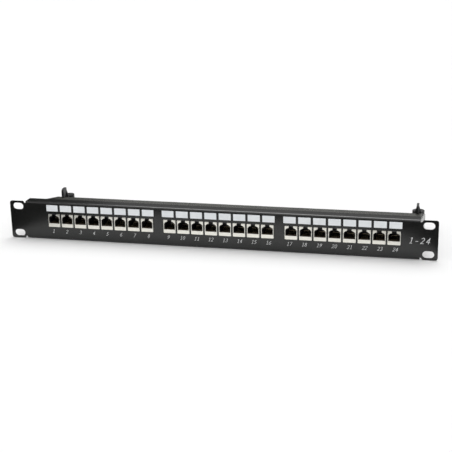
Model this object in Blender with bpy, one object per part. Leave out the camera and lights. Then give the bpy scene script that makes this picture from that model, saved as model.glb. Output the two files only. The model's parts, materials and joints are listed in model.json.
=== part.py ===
"""A 24-port patch panel for 19-inch racks, one unit high, as separate pieces.

Metres, +Z up. +X runs to the right along the front plate and +Y runs back into the rack.
The origin is the bottom centre of the whole panel's box.
"""

import math

import bmesh
import bpy

MM = 0.001

# Gap kept between pieces that touch, and how far each cutter reaches past the faces that it cuts.
GAP = 0.3 * MM
CUT = 2.0 * MM

# Front plate: 19-inch ears, one rack unit less its clearance, and the rack's hole grid.
PANEL_WIDTH = 485.0 * MM
PANEL_HEIGHT = 44.0 * MM
PANEL_SHEET = 1.5 * MM
EAR_RADIUS = 2.6 * MM
SLOT_SPACING_X = 465.1 * MM
SLOT_SPACING_Z = 31.75 * MM
SLOT_LENGTH = 12.5 * MM
SLOT_HEIGHT = 7.9 * MM
FLANGE_DEPTH = 13.9 * MM
FLANGE_HALF = 223.5 * MM
BEND_RADIUS = 2.2 * MM
RELIEF_WIDTH = 3.0 * MM
RELIEF_DEPTH = 2.4 * MM

# Ports: three groups of eight, set a little right of the plate's centre.
GROUPS = 3
GROUP_PORTS = 8
PORTS = GROUPS * GROUP_PORTS
PORT_FIELD_X = 3.5 * MM
GROUP_PITCH = 137.25 * MM
PORT_PITCH = 15.863 * MM

# Jack: outer shell, and the socket cut in its face.
JACK_WIDTH = 13.75 * MM
JACK_HEIGHT = 15.1 * MM
JACK_BOTTOM = 15.15 * MM
JACK_PROUD = 0.4 * MM
JACK_DEPTH = 20.5 * MM
JACK_CHAMFER = 0.35 * MM
WINDOW_CLEARANCE = 0.25 * MM
SOCKET_WIDTH = 12.0 * MM
SOCKET_FLOOR = 4.05 * MM
SOCKET_SIDES = 5.8 * MM
SOCKET_ARCH = 3.7 * MM
SOCKET_DEPTH = 15.0 * MM
LATCH_NOTCH_WIDTH = 5.0 * MM
LATCH_NOTCH_TOP = 0.4 * MM
ARCH_STEPS = 6

# Label strips above the ports.
LABEL_BOTTOM = 33.6 * MM
LABEL_HEIGHT = 7.35 * MM
LABEL_PITCH = 16.294 * MM
LABEL_WIDTH = 13.6 * MM
LABEL_THICKNESS = 0.5 * MM

# Rear tray.
TRAY_SHEET = 1.2 * MM
TRAY_HALF = 223.4 * MM
TRAY_DEPTH = 96.0 * MM
TRAY_RIM_HEIGHT = 22.85 * MM
TRAY_RIM_DEPTH = 14.0 * MM
WALL_FRONT_HEIGHT = 41.8 * MM
TONGUE_FRONT = 2.2 * MM

# Circuit boards on their standoffs, with the punch-down blocks.
BOARD_WIDTH = 127.5 * MM
BOARD_FRONT = 2.5 * MM
BOARD_REAR = 58.0 * MM
BOARD_THICKNESS = 1.6 * MM
BOARD_HOLE_RADIUS = 1.7 * MM
STANDOFF_INSET = 8.0 * MM
STANDOFF_RADIUS = 3.2 * MM
STANDOFF_BORE = 1.3 * MM
STANDOFF_BORE_DEPTH = 6.0 * MM
BLOCK_PORTS = 2
BLOCK_WIDTH = 29.4 * MM
BLOCK_DEPTH = 15.0 * MM
BLOCK_HEIGHT = 13.5 * MM
BLOCK_CENTRE = 38.0 * MM
BLOCK_SLOTS = 8
BLOCK_SLOT_PITCH = 3.4 * MM
BLOCK_SLOT_WIDTH = 1.0 * MM
BLOCK_SLOT_DEPTH = 7.0 * MM
BLOCK_GROOVE_WIDTH = 3.0 * MM
BLOCK_GROOVE_DEPTH = 9.0 * MM

# Cable bar behind the tray, with its tongues in slots of the tray's rear wall.
BAR_HALF = 222.9 * MM
BAR_FRONT = 97.0 * MM
BAR_REAR = 118.0 * MM
BAR_SHEET = 1.5 * MM
BAR_TOP = 15.7 * MM
BAR_LIP = 9.0 * MM
BAR_TONGUE_WIDTH = 12.0 * MM
BAR_TONGUE_REACH = 15.0 * MM
BAR_TONGUE_ROOT = 2.0 * MM
BAR_TONGUE_X = (-150.0 * MM, 0.0, 150.0 * MM)
TONGUE_CLEARANCE = 0.4 * MM
TIE_SLOT_WIDTH = 3.2 * MM
TIE_SLOT_LENGTH = 7.0 * MM
TIE_SLOT_CENTRE = 108.5 * MM

# Turn latches at the rear corners.
LATCH_X = 215.3 * MM
LATCH_Y = 111.0 * MM
LATCH_RADIUS = 7.0 * MM
LATCH_BOTTOM = 16.0 * MM
LATCH_TOP = 22.0 * MM
FIN_FRONT = 19.4 * MM
FIN_REAR = 8.9 * MM
FIN_TOP = 33.7 * MM
FIN_ROOT_THICKNESS = 3.0 * MM
FIN_TIP_THICKNESS = 2.5 * MM
FIN_FRONT_RADIUS = 3.6 * MM
FIN_REAR_RADIUS = 1.4 * MM
NECK_FRONT = 13.9 * MM
GUSSET_HALF = 4.0 * MM
GUSSET_THICKNESS = 1.5 * MM
GUSSET_TOP = 30.0 * MM
GUSSET_OVERLAP = 0.2 * MM
PIVOT_RADIUS = 2.0 * MM
PIVOT_HEAD_RADIUS = 4.0 * MM
PIVOT_HEAD_HEIGHT = 2.0 * MM
PIVOT_DEPTH = 3.7 * MM

# Screws under the front flange, and the earthing point on the tray floor.
TRAY_SCREW_X = 105.0 * MM
TRAY_SCREW_Y = 8.0 * MM
TRAY_SCREW_RADIUS = 1.5 * MM
TRAY_SCREW_HEAD_RADIUS = 2.8 * MM
TRAY_SCREW_HEAD_HEIGHT = 1.2 * MM
TRAY_SCREW_LENGTH = 5.0 * MM
GROUND_X = 196.0 * MM
GROUND_Y = 72.0 * MM
GROUND_RADIUS = 2.0 * MM
GROUND_HEIGHT = 11.0 * MM
GROUND_NUT_FLATS = 7.0 * MM
GROUND_NUT_HEIGHT = 3.2 * MM

# Facets of full circles, and steps along round corners.
ROUND_SIDES = 32
SMALL_SIDES = 16
HEXAGON_SIDES = 6
EAR_STEPS = 5
BEND_STEPS = 6
SLOT_END_STEPS = 8
FIN_CORNER_STEPS = 6

# The front plate's front face in the part frame: the box runs from the labels to the bar.
LABEL_PROUD = LABEL_THICKNESS + GAP
PLATE_Y = (LABEL_PROUD - BAR_REAR) / 2
BOARD_TOP = JACK_BOTTOM - GAP
BOARD_BOTTOM = BOARD_TOP - BOARD_THICKNESS


def behind(distance):
    """Y of a plane this far behind the front plate's front face."""
    return PLATE_Y + distance


def clear_scene():
    for found in list(bpy.data.objects):
        bpy.data.objects.remove(found, do_unlink=True)


def material(name, color, roughness, metallic=0.0):
    made = bpy.data.materials.new(name)
    made.use_nodes = True
    shader = made.node_tree.nodes["Principled BSDF"]
    shader.inputs["Base Color"].default_value = (*color, 1.0)
    shader.inputs["Roughness"].default_value = roughness
    shader.inputs["Metallic"].default_value = metallic
    return made


def prism(outline, axis, low, high):
    """A closed bmesh: an outline in the two other axes, in X, Y, Z order, extruded along one axis."""
    across = [number for number, letter in enumerate("XYZ") if letter != axis]
    along = "XYZ".index(axis)
    made = bmesh.new()
    rings = []
    for level in (low, high):
        ring = []
        for point in outline:
            place = [0.0, 0.0, 0.0]
            place[across[0]], place[across[1]] = point
            place[along] = level
            ring.append(made.verts.new(place))
        rings.append(ring)
    made.faces.new(rings[0])
    made.faces.new(rings[1])
    count = len(outline)
    for start in range(count):
        end = (start + 1) % count
        made.faces.new((rings[0][start], rings[0][end], rings[1][end], rings[1][start]))
    bmesh.ops.recalc_face_normals(made, faces=made.faces)
    return made


def box(low, high):
    """A closed bmesh box between two corners."""
    corners = [(low[0], low[1]), (high[0], low[1]), (high[0], high[1]), (low[0], high[1])]
    return prism(corners, "Z", low[2], high[2])


def cylinder(centre, radius, low, high, sides=ROUND_SIDES):
    """A closed bmesh cylinder along Z."""
    return prism(arc(centre, radius, 0.0, 360.0, sides)[:-1], "Z", low, high)


def arc(centre, radius, start, end, steps):
    """Points on a circle from one angle to another, in degrees, both ends included."""
    turns = [math.radians(start + (end - start) * step / steps) for step in range(steps + 1)]
    return [(centre[0] + radius * math.cos(turn), centre[1] + radius * math.sin(turn)) for turn in turns]


def rectangle(centre, width, height):
    """Corners of an upright rectangle, anticlockwise from the lower left."""
    half_width, half_height = width / 2, height / 2
    return [
        (centre[0] - half_width, centre[1] - half_height),
        (centre[0] + half_width, centre[1] - half_height),
        (centre[0] + half_width, centre[1] + half_height),
        (centre[0] - half_width, centre[1] + half_height),
    ]


def joined(pieces):
    """One bmesh that holds several closed shapes."""
    whole = bmesh.new()
    for piece in pieces:
        mesh = bpy.data.meshes.new("joined")
        piece.to_mesh(mesh)
        piece.free()
        whole.from_mesh(mesh)
        bpy.data.meshes.remove(mesh)
    return whole


def add_object(name, shape, finish, location=(0.0, 0.0, 0.0)):
    """A named object from a bmesh, at a location."""
    mesh = bpy.data.meshes.new(name)
    shape.to_mesh(mesh)
    shape.free()
    made = bpy.data.objects.new(name, mesh)
    made.location = location
    if finish:
        mesh.materials.append(finish)
    bpy.context.scene.collection.objects.link(made)
    return made


def combine(target, shape, operation):
    """Adds an exact Boolean with a hidden helper object, which follows the target."""
    helper = add_object(f"{target.name}_{operation.lower()}_{len(target.modifiers)}", shape, None)
    helper.parent = target
    helper.hide_render = True
    helper.display_type = "WIRE"
    modifier = target.modifiers.new(operation.title(), "BOOLEAN")
    modifier.operation = operation
    modifier.solver = "EXACT"
    modifier.object = helper


def settled(made):
    """The object's shape with its Booleans applied, as a bmesh. The object and its helpers are removed."""
    bpy.context.view_layer.update()
    graph = bpy.context.evaluated_depsgraph_get()
    shape = bmesh.new()
    shape.from_object(made, graph)
    for spent in [*made.children, made]:
        bpy.data.objects.remove(spent, do_unlink=True)
    return shape


def add_copies(mesh_name, shape, finish, places):
    """One object for each named place, all sharing a mesh."""
    mesh = bpy.data.meshes.new(mesh_name)
    shape.to_mesh(mesh)
    shape.free()
    mesh.materials.append(finish)
    copies = []
    for name, location in places:
        copy = bpy.data.objects.new(name, mesh)
        copy.location = location
        bpy.context.scene.collection.objects.link(copy)
        copies.append(copy)
    return copies


def smooth(made, angle=35.0):
    """Shades the round stretches smooth and keeps the edges sharp."""
    made.data.shade_smooth()
    made.data.set_sharp_from_angle(angle=math.radians(angle))


def group_centre(group):
    return PORT_FIELD_X + (group - (GROUPS - 1) / 2) * GROUP_PITCH


def port_centre(port):
    """X of a port's centre, counted from 0 at the left."""
    group, place = divmod(port, GROUP_PORTS)
    return group_centre(group) + (place - (GROUP_PORTS - 1) / 2) * PORT_PITCH


def plate_outline():
    """The flat plate in X and Z: rounded ears, and a relief notch beside each end of both flanges."""
    half = PANEL_WIDTH / 2
    ear = half - EAR_RADIUS
    top = PANEL_HEIGHT
    shoulder = top - BEND_RADIUS
    relief = top - RELIEF_DEPTH
    right = [
        (FLANGE_HALF, PANEL_HEIGHT - shoulder),
        (FLANGE_HALF, PANEL_HEIGHT - relief),
        (FLANGE_HALF + RELIEF_WIDTH / 2, PANEL_HEIGHT - relief),
        (FLANGE_HALF + RELIEF_WIDTH, 0.0),
        *arc((ear, EAR_RADIUS), EAR_RADIUS, -90.0, 0.0, EAR_STEPS),
        *arc((ear, top - EAR_RADIUS), EAR_RADIUS, 0.0, 90.0, EAR_STEPS),
        (FLANGE_HALF + RELIEF_WIDTH, top),
        (FLANGE_HALF + RELIEF_WIDTH / 2, relief),
        (FLANGE_HALF, relief),
        (FLANGE_HALF, shoulder),
    ]
    left = [(-x, z) for x, z in reversed(right)]
    return right + left


def flange_profile(up):
    """A bend and its flange in Y and Z, with a short root inside the plate. up is 1 for the top, -1 below."""
    edge = PANEL_HEIGHT if up > 0 else 0.0
    centre = (behind(BEND_RADIUS), edge - up * BEND_RADIUS)
    inner = BEND_RADIUS - PANEL_SHEET
    outside = arc(centre, BEND_RADIUS, 180.0, 180.0 - up * 90.0, BEND_STEPS)
    inside = arc(centre, inner, 180.0 - up * 90.0, 180.0, BEND_STEPS)
    return [
        *outside,
        (behind(FLANGE_DEPTH), edge),
        (behind(FLANGE_DEPTH), edge - up * PANEL_SHEET),
        *inside,
    ]


def slot_outline(x, z):
    """A round-ended rack slot in X and Z."""
    radius = SLOT_HEIGHT / 2
    reach = SLOT_LENGTH / 2 - radius
    return [
        *arc((x + reach, z), radius, -90.0, 90.0, SLOT_END_STEPS),
        *arc((x - reach, z), radius, 90.0, 270.0, SLOT_END_STEPS),
    ]


def front_panel(finish):
    """The folded sheet-steel front: one plate, two flanges, the jack windows and the rack slots."""
    made = add_object("front_panel", prism(plate_outline(), "Y", behind(0), behind(PANEL_SHEET)), finish)
    flanges = [prism(flange_profile(up), "X", -FLANGE_HALF, FLANGE_HALF) for up in (1, -1)]
    combine(made, joined(flanges), "UNION")
    low, high = behind(-CUT), behind(PANEL_SHEET + CUT)
    window_z = JACK_BOTTOM + JACK_HEIGHT / 2
    width = JACK_WIDTH + 2 * WINDOW_CLEARANCE
    height = JACK_HEIGHT + 2 * WINDOW_CLEARANCE
    holes = [
        prism(rectangle((port_centre(port), window_z), width, height), "Y", low, high)
        for port in range(PORTS)
    ]
    for side in (-1, 1):
        for level in (-1, 1):
            centre_z = PANEL_HEIGHT / 2 + level * SLOT_SPACING_Z / 2
            holes.append(prism(slot_outline(side * SLOT_SPACING_X / 2, centre_z), "Y", low, high))
    for side in (-1, 1):
        centre = (side * TRAY_SCREW_X, behind(TRAY_SCREW_Y))
        holes.append(countersink(centre))
    combine(made, joined(holes), "DIFFERENCE")
    smooth(made)


def countersink(centre):
    """The hole for one tray screw in the lower flange, wider at the outside."""
    wide = TRAY_SCREW_HEAD_RADIUS + GAP
    narrow = TRAY_SCREW_RADIUS + GAP
    sink = TRAY_SCREW_HEAD_HEIGHT + GAP
    top = PANEL_SHEET + CUT
    profile = [(0.0, -CUT), (wide, -CUT), (wide, GAP), (narrow, sink), (narrow, top), (0.0, top)]
    return turned(profile, centre, SMALL_SIDES)


def turned(profile, centre, sides=ROUND_SIDES):
    """A closed bmesh turned about a vertical axis from a profile of radius and height.

    The profile starts and ends on the axis.
    """
    made = bmesh.new()
    bottom = made.verts.new((centre[0], centre[1], profile[0][1]))
    top = made.verts.new((centre[0], centre[1], profile[-1][1]))
    rings = []
    for radius, height in profile[1:-1]:
        ring = arc(centre, radius, 0.0, 360.0, sides)[:-1]
        rings.append([made.verts.new((x, y, height)) for x, y in ring])
    for side in range(sides):
        other = (side + 1) % sides
        made.faces.new((bottom, rings[0][other], rings[0][side]))
        made.faces.new((top, rings[-1][side], rings[-1][other]))
        for lower, upper in zip(rings, rings[1:]):
            made.faces.new((lower[side], lower[other], upper[other], upper[side]))
    bmesh.ops.recalc_face_normals(made, faces=made.faces)
    return made


def socket_outline():
    """The socket in X and Z about the jack's centre line: straight sides, an arched top and a latch notch."""
    half = SOCKET_WIDTH / 2
    notch = LATCH_NOTCH_WIDTH / 2
    floor = JACK_BOTTOM + SOCKET_FLOOR
    spring = floor + SOCKET_SIDES
    top = JACK_BOTTOM + JACK_HEIGHT - LATCH_NOTCH_TOP
    last = math.acos(notch / half)
    turns = [last * step / ARCH_STEPS for step in range(ARCH_STEPS + 1)]
    right = [(half * math.cos(turn), spring + SOCKET_ARCH * math.sin(turn)) for turn in turns]
    right = [(half, floor), *right, (notch, top)]
    return right + [(-x, z) for x, z in reversed(right)]


def jack_shape():
    """A jack about its centre line: a shell with chamfered sides, and its socket."""
    half = JACK_WIDTH / 2
    face = -JACK_PROUD
    chamfer = JACK_CHAMFER
    outline = rectangle((0.0, JACK_BOTTOM + JACK_HEIGHT / 2), JACK_WIDTH, JACK_HEIGHT)
    made = add_object("jack_shape", prism(outline, "Y", face, JACK_DEPTH), None)
    front = [(-half - CUT, face - CUT), (half + CUT, face - CUT), (half + CUT, face + chamfer)]
    front += [(half, face + chamfer), (half - chamfer, face), (chamfer - half, face)]
    front += [(-half, face + chamfer), (-half - CUT, face + chamfer)]
    combine(made, prism(front, "Z", 0.0, PANEL_HEIGHT), "DIFFERENCE")
    combine(made, prism(socket_outline(), "Y", face - CUT, SOCKET_DEPTH), "DIFFERENCE")
    return settled(made)


def jacks(finish):
    places = [(f"jack_{port + 1:02d}", (port_centre(port), behind(0), 0.0)) for port in range(PORTS)]
    add_copies("jack", jack_shape(), finish, places)


def label_strips(finish):
    """One writing strip for each group, eight fields long."""
    half = ((GROUP_PORTS - 1) * LABEL_PITCH + LABEL_WIDTH) / 2
    for group in range(GROUPS):
        centre = group_centre(group)
        low = (centre - half, behind(-LABEL_PROUD), LABEL_BOTTOM)
        high = (centre + half, behind(-GAP), LABEL_BOTTOM + LABEL_HEIGHT)
        add_object(f"label_strip_{group + 1}", box(low, high), finish)


def tray_profile():
    """The tray's sheet in Y and Z: front tongue, joggle, floor, rear wall and forward rim."""
    sheet = TRAY_SHEET
    tongue = PANEL_SHEET + GAP
    step = behind(FLANGE_DEPTH + 2 * GAP)
    front = behind(TONGUE_FRONT)
    rear = behind(TRAY_DEPTH)
    rim_front = behind(TRAY_DEPTH - TRAY_RIM_DEPTH)
    top = TRAY_RIM_HEIGHT
    return [
        (front, tongue),
        (step, tongue),
        (step, 0.0),
        (rear, 0.0),
        (rear, top),
        (rim_front, top),
        (rim_front, top - sheet),
        (rear - sheet, top - sheet),
        (rear - sheet, sheet),
        (step + sheet, sheet),
        (step + sheet, tongue + sheet),
        (front, tongue + sheet),
    ]


def tray_wall_outline():
    """One side wall in Y and Z: clear of the front flanges, its top edge falling to the rear rim."""
    tongue = PANEL_SHEET + GAP
    step = behind(FLANGE_DEPTH + 2 * GAP)
    front = behind(PANEL_SHEET + GAP)
    rear = behind(TRAY_DEPTH)
    return [
        (front, tongue),
        (step, tongue),
        (step, 0.0),
        (rear, 0.0),
        (rear, TRAY_RIM_HEIGHT),
        (front, WALL_FRONT_HEIGHT),
    ]


def rear_tray(finish):
    """The folded tray behind the plate, open at the top."""
    middle = TRAY_HALF - TRAY_SHEET / 2
    made = add_object("rear_tray", prism(tray_profile(), "X", -middle, middle), finish)
    walls = []
    for side in (-1, 1):
        ends = sorted((side * (TRAY_HALF - TRAY_SHEET), side * TRAY_HALF))
        walls.append(prism(tray_wall_outline(), "X", *ends))
    combine(made, joined(walls), "UNION")
    rear = behind(TRAY_DEPTH)
    holes = []
    for x in BAR_TONGUE_X:
        reach = BAR_TONGUE_WIDTH / 2 + TONGUE_CLEARANCE
        low = (x - reach, rear - TRAY_SHEET - CUT, BAR_TOP - BAR_SHEET - TONGUE_CLEARANCE)
        high = (x + reach, rear + CUT, BAR_TOP + TONGUE_CLEARANCE)
        holes.append(box(low, high))
    tongue = PANEL_SHEET + GAP
    top = tongue + TRAY_SHEET + CUT
    for side in (-1, 1):
        centre = (side * TRAY_SCREW_X, behind(TRAY_SCREW_Y))
        holes.append(cylinder(centre, TRAY_SCREW_RADIUS + GAP, tongue - CUT, top, SMALL_SIDES))
    combine(made, joined(holes), "DIFFERENCE")


def standoff_places():
    """X and Y of the two standoffs under each board, near its rear corners."""
    reach = BOARD_WIDTH / 2 - STANDOFF_INSET
    y = behind(BOARD_REAR) - STANDOFF_INSET
    return [(group_centre(group) + side * reach, y) for group in range(GROUPS) for side in (-1, 1)]


def circuit_boards(finish):
    places = standoff_places()
    for group in range(GROUPS):
        centre = group_centre(group)
        low = (centre - BOARD_WIDTH / 2, behind(BOARD_FRONT), BOARD_BOTTOM)
        high = (centre + BOARD_WIDTH / 2, behind(BOARD_REAR), BOARD_TOP)
        made = add_object(f"circuit_board_{group + 1}", box(low, high), finish)
        holes = [
            cylinder(place, BOARD_HOLE_RADIUS, BOARD_BOTTOM - CUT, BOARD_TOP + CUT, SMALL_SIDES)
            for place in places[2 * group : 2 * group + 2]
        ]
        combine(made, joined(holes), "DIFFERENCE")


def standoffs(finish):
    """Round brass spacers, each with a blind bore for its screw."""
    low = TRAY_SHEET + GAP
    high = BOARD_BOTTOM - GAP
    bore = high - STANDOFF_BORE_DEPTH
    profile = [
        (0.0, low),
        (STANDOFF_RADIUS, low),
        (STANDOFF_RADIUS, high),
        (STANDOFF_BORE, high),
        (STANDOFF_BORE, bore),
        (0.0, bore),
    ]
    spacer = turned(profile, (0.0, 0.0), SMALL_SIDES)
    places = [(f"standoff_{number}", (*place, 0.0)) for number, place in enumerate(standoff_places(), 1)]
    smooth(add_copies("standoff", spacer, finish, places)[0])


def block_outline():
    """A punch-down block in X and Z about its centre line, with its wire slots."""
    half = BLOCK_WIDTH / 2
    low = BOARD_TOP + GAP
    top = low + BLOCK_HEIGHT
    floor = top - BLOCK_SLOT_DEPTH
    points = [(half, low), (half, top)]
    for slot in reversed(range(BLOCK_SLOTS)):
        x = (slot - (BLOCK_SLOTS - 1) / 2) * BLOCK_SLOT_PITCH
        right, left = x + BLOCK_SLOT_WIDTH / 2, x - BLOCK_SLOT_WIDTH / 2
        points += [(right, top), (right, floor), (left, floor), (left, top)]
    return points + [(-half, top), (-half, low)]


def block_shape():
    """A punch-down block about its centre line: two rows of slots with a groove between them."""
    half = BLOCK_DEPTH / 2
    made = add_object("block_shape", prism(block_outline(), "Y", -half, half), None)
    top = BOARD_TOP + GAP + BLOCK_HEIGHT
    reach = BLOCK_WIDTH
    low = (-reach, -BLOCK_GROOVE_WIDTH / 2, top - BLOCK_GROOVE_DEPTH)
    high = (reach, BLOCK_GROOVE_WIDTH / 2, top + CUT)
    combine(made, box(low, high), "DIFFERENCE")
    return settled(made)


def idc_blocks(finish):
    """Each block stands behind the middle of the ports that it serves."""
    places = []
    for number in range(PORTS // BLOCK_PORTS):
        first = number * BLOCK_PORTS
        x = (port_centre(first) + port_centre(first + BLOCK_PORTS - 1)) / 2
        places.append((f"idc_block_{number + 1:02d}", (x, behind(BLOCK_CENTRE), 0.0)))
    add_copies("idc_block", block_shape(), finish, places)


def bar_profile():
    """The cable bar's sheet in Y and Z: a level strip with its rear edge turned down."""
    front, rear = behind(BAR_FRONT), behind(BAR_REAR)
    return [
        (front, BAR_TOP - BAR_SHEET),
        (rear - BAR_SHEET, BAR_TOP - BAR_SHEET),
        (rear - BAR_SHEET, BAR_TOP - BAR_LIP),
        (rear, BAR_TOP - BAR_LIP),
        (rear, BAR_TOP),
        (front, BAR_TOP),
    ]


def cable_bar(finish):
    """The bar that cables are tied to: tongues in front, a tie slot for each port, a hole at each end."""
    made = add_object("cable_bar", prism(bar_profile(), "X", -BAR_HALF, BAR_HALF), finish)
    tongues = []
    for x in BAR_TONGUE_X:
        reach = BAR_TONGUE_WIDTH / 2
        low = (x - reach, behind(BAR_FRONT - BAR_TONGUE_REACH), BAR_TOP - BAR_SHEET)
        high = (x + reach, behind(BAR_FRONT + BAR_TONGUE_ROOT), BAR_TOP)
        tongues.append(box(low, high))
    combine(made, joined(tongues), "UNION")
    holes = []
    low, high = BAR_TOP - BAR_SHEET - CUT, BAR_TOP + CUT
    for port in range(PORTS):
        outline = rectangle((port_centre(port), behind(TIE_SLOT_CENTRE)), TIE_SLOT_WIDTH, TIE_SLOT_LENGTH)
        holes.append(prism(outline, "Z", low, high))
    for side in (-1, 1):
        centre = (side * LATCH_X, behind(LATCH_Y))
        holes.append(cylinder(centre, PIVOT_RADIUS + GAP, low, high, SMALL_SIDES))
    combine(made, joined(holes), "DIFFERENCE")


def fin_outline():
    """The latch's upright fin in Y and Z about its pivot: a neck below, and a nose over the tray's rim."""
    front_radius, rear_radius = FIN_FRONT_RADIUS, FIN_REAR_RADIUS
    nose = TRAY_RIM_HEIGHT + GAP
    top_front = (-FIN_FRONT + front_radius, FIN_TOP - front_radius)
    top_rear = (-FIN_REAR - rear_radius, FIN_TOP - rear_radius)
    return [
        (-LATCH_RADIUS / 2, LATCH_BOTTOM),
        (-LATCH_RADIUS / 2, LATCH_TOP - GAP),
        (-FIN_REAR, LATCH_TOP - GAP),
        *arc(top_rear, rear_radius, 0.0, 90.0, FIN_CORNER_STEPS),
        *arc(top_front, front_radius, 90.0, 180.0, FIN_CORNER_STEPS),
        (-FIN_FRONT, nose),
        (-NECK_FRONT, nose),
        (-NECK_FRONT, LATCH_BOTTOM),
    ]


def fin_side_cutters():
    """Two wedges that thin the fin towards its tip."""
    low, high = LATCH_TOP, FIN_TOP + CUT
    share = (high - low) / (FIN_TOP - low)
    root = FIN_ROOT_THICKNESS / 2
    tip = root + (FIN_TIP_THICKNESS / 2 - root) * share
    outer = root + CUT
    wedges = []
    for side in (-1, 1):
        outline = [(side * root, low), (side * outer, low), (side * outer, high), (side * tip, high)]
        wedges.append(prism(outline, "Y", -FIN_FRONT - CUT, -FIN_REAR + CUT))
    return wedges


def fin_shape():
    """The fin, thinned towards its tip, with a cross web behind its foot."""
    half = FIN_ROOT_THICKNESS / 2
    fin = add_object("fin_shape", prism(fin_outline(), "X", -half, half), None)
    combine(fin, joined(fin_side_cutters()), "DIFFERENCE")
    tip = FIN_TIP_THICKNESS / 2
    web = [
        (-GUSSET_HALF, LATCH_BOTTOM),
        (GUSSET_HALF, LATCH_BOTTOM),
        (GUSSET_HALF, LATCH_TOP),
        (tip, GUSSET_TOP),
        (-tip, GUSSET_TOP),
        (-GUSSET_HALF, LATCH_TOP),
    ]
    front = -FIN_REAR - GUSSET_THICKNESS
    combine(fin, prism(web, "Y", front, -FIN_REAR + GUSSET_OVERLAP), "UNION")
    return settled(fin)


def latch_shape():
    """A latch about its pivot: a round head, the fin on its neck, and a blind bore from below."""
    head = cylinder((0.0, 0.0), LATCH_RADIUS, LATCH_BOTTOM, LATCH_TOP)
    made = add_object("latch_shape", head, None)
    combine(made, fin_shape(), "UNION")
    top = LATCH_BOTTOM + PIVOT_DEPTH + GAP
    bore = cylinder((0.0, 0.0), PIVOT_RADIUS + GAP, LATCH_BOTTOM - CUT, top, SMALL_SIDES)
    combine(made, bore, "DIFFERENCE")
    return settled(made)


def latch_places(prefix):
    """A name and a pivot axis for the left and the right latch."""
    sides = ((-1, "left"), (1, "right"))
    return [(f"{prefix}_{word}", (side * LATCH_X, behind(LATCH_Y), 0.0)) for side, word in sides]


def latches(finish):
    """Each latch has its origin on its own pivot axis."""
    smooth(add_copies("latch", latch_shape(), finish, latch_places("latch"))[0])


def latch_pivots(finish):
    """Shouldered pins from below the bar up into the latches."""
    shank = BAR_TOP - BAR_SHEET - GAP
    head = shank - PIVOT_HEAD_HEIGHT
    tip = LATCH_BOTTOM + PIVOT_DEPTH - GAP
    profile = [
        (0.0, head),
        (PIVOT_HEAD_RADIUS, head),
        (PIVOT_HEAD_RADIUS, shank),
        (PIVOT_RADIUS, shank),
        (PIVOT_RADIUS, tip),
        (0.0, tip),
    ]
    pin = turned(profile, (0.0, 0.0), SMALL_SIDES)
    smooth(add_copies("latch_pivot", pin, finish, latch_places("latch_pivot"))[0])


def tray_screws(finish):
    """Countersunk screws up through the lower flange into the tray's tongue."""
    head = TRAY_SCREW_HEAD_HEIGHT
    profile = [
        (0.0, GAP),
        (TRAY_SCREW_HEAD_RADIUS, GAP),
        (TRAY_SCREW_RADIUS, head),
        (TRAY_SCREW_RADIUS, TRAY_SCREW_LENGTH),
        (0.0, TRAY_SCREW_LENGTH),
    ]
    screw = turned(profile, (0.0, 0.0), SMALL_SIDES)
    places = [
        (f"tray_screw_{number}", (side * TRAY_SCREW_X, behind(TRAY_SCREW_Y), 0.0))
        for number, side in enumerate((-1, 1), 1)
    ]
    smooth(add_copies("tray_screw", screw, finish, places)[0])


def ground_point(stud_finish, nut_finish):
    """An earthing stud on the tray floor, and its hexagon nut."""
    low = TRAY_SHEET + GAP
    top = low + GROUND_HEIGHT
    nut_top = low + GROUND_NUT_HEIGHT
    profile = [(0.0, low), (GROUND_RADIUS, low), (GROUND_RADIUS, top), (0.0, top)]
    stud = add_object("ground_stud", turned(profile, (0.0, 0.0), SMALL_SIDES), stud_finish)
    corner = GROUND_NUT_FLATS / math.sqrt(3)
    outline = arc((0.0, 0.0), corner, 0.0, 360.0, HEXAGON_SIDES)[:-1]
    nut = add_object("ground_nut", prism(outline, "Z", low, nut_top), nut_finish)
    hole = cylinder((0.0, 0.0), GROUND_RADIUS + GAP, low - CUT, nut_top + CUT, SMALL_SIDES)
    combine(nut, hole, "DIFFERENCE")
    for made in (stud, nut):
        made.location = (GROUND_X, behind(GROUND_Y), 0.0)
        smooth(made)


def main():
    clear_scene()
    black_steel = material("black painted steel", (0.018, 0.018, 0.02), 0.45)
    black_nylon = material("black nylon", (0.02, 0.02, 0.022), 0.5)
    nickel = material("nickel plate", (0.78, 0.76, 0.7), 0.28, 1.0)
    white_film = material("white writing film", (0.85, 0.87, 0.88), 0.55)
    board_green = material("green board", (0.02, 0.16, 0.07), 0.4)
    white_plastic = material("white block plastic", (0.8, 0.8, 0.77), 0.45)
    zinc = material("zinc plate", (0.6, 0.6, 0.6), 0.35, 1.0)
    brass = material("brass", (0.75, 0.55, 0.25), 0.3, 1.0)
    front_panel(black_steel)
    rear_tray(black_steel)
    jacks(nickel)
    label_strips(white_film)
    circuit_boards(board_green)
    standoffs(brass)
    idc_blocks(white_plastic)
    cable_bar(black_steel)
    latches(black_nylon)
    latch_pivots(zinc)
    tray_screws(zinc)
    ground_point(zinc, brass)


main()
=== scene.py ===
"""Looks for a 24-port rack patch panel: softened sheet metal, detailed sockets and blocks, and a studio."""

import json
import math

import bmesh
import bpy
from mathutils import Matrix, Vector

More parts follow.
